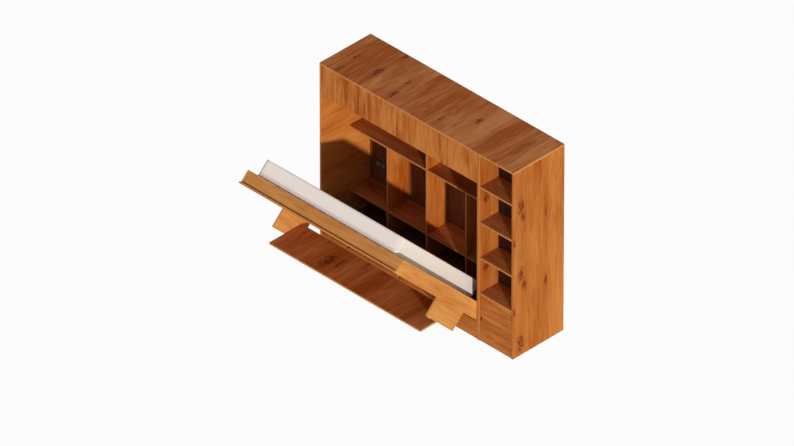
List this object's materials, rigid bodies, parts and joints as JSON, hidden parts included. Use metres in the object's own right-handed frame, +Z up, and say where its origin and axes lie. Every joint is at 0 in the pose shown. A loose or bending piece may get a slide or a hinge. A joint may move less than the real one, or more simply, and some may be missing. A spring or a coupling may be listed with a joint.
{
  "type": "wall bed with desk",
  "caption": "Fold-down wall bed in a timber cabinet: a sprung bed panel with a desk that stays level as it opens, shelves behind, drawers below and a shelf tower at one side.",
  "frame": {"origin": "on the floor, at the middle of the cabinet's footprint", "axes": "+X along the wall to the right as seen from the room, -Y towards the room, +Z up"},
  "size_m": [2.79, 1.9328, 2.325],
  "materials": {
    "board_upright": "satin",
    "board_depth": "satin",
    "board_front": "satin",
    "board_desk": "satin",
    "board_bed": "satin",
    "slat_wood": "satin",
    "steel": "satin",
    "bronze": "satin",
    "nylon": "matte",
    "ticking": "matte",
    "socket_dark": "satin",
    "socket_grey": "matte"
  },
  "bodies": {
    "cabinet": {"bed_side_left": "board_upright", "bed_side_right": "board_upright", "tower_side_left": "board_upright", "tower_side_right": "board_upright", "fascia": "board_upright", "divider_1": "board_upright", "divider_2": "board_upright", "divider_3": "board_upright", "bay_back": "board_upright", "tower_back": "board_upright", "tower_niche_back": "board_upright", "drawer_partitions": "board_upright", "bed_top": "board_depth", "tower_top": "board_depth", "upper_shelves": "board_depth", "lower_shelves": "board_depth", "tower_shelves": "board_depth", "cupboard_top": "board_depth", "base_panel": "board_depth", "tower_base": "board_depth", "drawer_deck": "board_depth", "bearing_plates": "steel", "pivot_pins": "steel", "torsion_bar": "steel", "hinge_wheels": "steel", "wall_brackets": "steel", "drawer_runners": "steel", "door_hinge_leaves": "bronze", "door_hinge_pins": "bronze", "socket_frame": "socket_dark", "socket_inserts": "socket_grey"},
    "bed": {"facade": "board_bed", "end_board_left": "board_bed", "end_board_right": "board_bed", "low_rail": "board_bed", "high_rail": "board_bed", "slat_ledgers": "slat_wood", "centre_beam": "slat_wood", "slats": "slat_wood", "mattress": "ticking", "pivot_bushes": "bronze", "desk_bushes": "bronze", "torsion_anchor": "steel", "torsion_guides": "nylon", "corner_wheels": "steel", "level_chains": "steel", "chain_covers": "board_bed", "leg_glides": "nylon", "desk_stops": "steel"},
    "desk": {"desk_top": "board_desk", "desk_shafts": "steel", "desk_wheels": "steel"},
    "tower_door": {"tower_door": "board_front", "door_hinge_knuckles": "bronze"},
    "drawer_1": {"drawer_front_1": "board_front", "drawer_tray_1": "slat_wood"},
    "drawer_2": {"drawer_front_2": "board_front", "drawer_tray_2": "slat_wood"},
    "drawer_3": {"drawer_front_3": "board_front", "drawer_tray_3": "slat_wood"}
  },
  "joints": [
    {"name": "bed_fold", "type": "hinge", "parent": "cabinet", "child": "bed", "pos_m": [0, -0.35, 0.245], "axis": [1, 0, 0], "range_deg": [-45, 45], "stiffness_Nm_per_rad": 900, "springref_deg": -44.12},
    {"name": "desk_level", "type": "hinge", "parent": "bed", "child": "desk", "pos_m": [0, -0.828, 0.47976], "axis": [1, 0, 0], "range_deg": [-45, 45]},
    {"name": "door_swing", "type": "hinge", "parent": "cabinet", "child": "tower_door", "pos_m": [1.3715, -0.3743, 0.3], "axis": [0, 0, 1], "range_deg": [0, 100]},
    {"name": "drawer_slide_1", "type": "slide", "parent": "cabinet", "child": "drawer_1", "axis": [0, -1, 0], "range_m": [0, 0.24]},
    {"name": "drawer_slide_2", "type": "slide", "parent": "cabinet", "child": "drawer_2", "axis": [0, -1, 0], "range_m": [0, 0.24]},
    {"name": "drawer_slide_3", "type": "slide", "parent": "cabinet", "child": "drawer_3", "axis": [0, -1, 0], "range_m": [0, 0.24]}
  ],
  "couplings": [
    {"joint": "desk_level", "follows": "bed_fold", "ratio": -1}
  ]
}
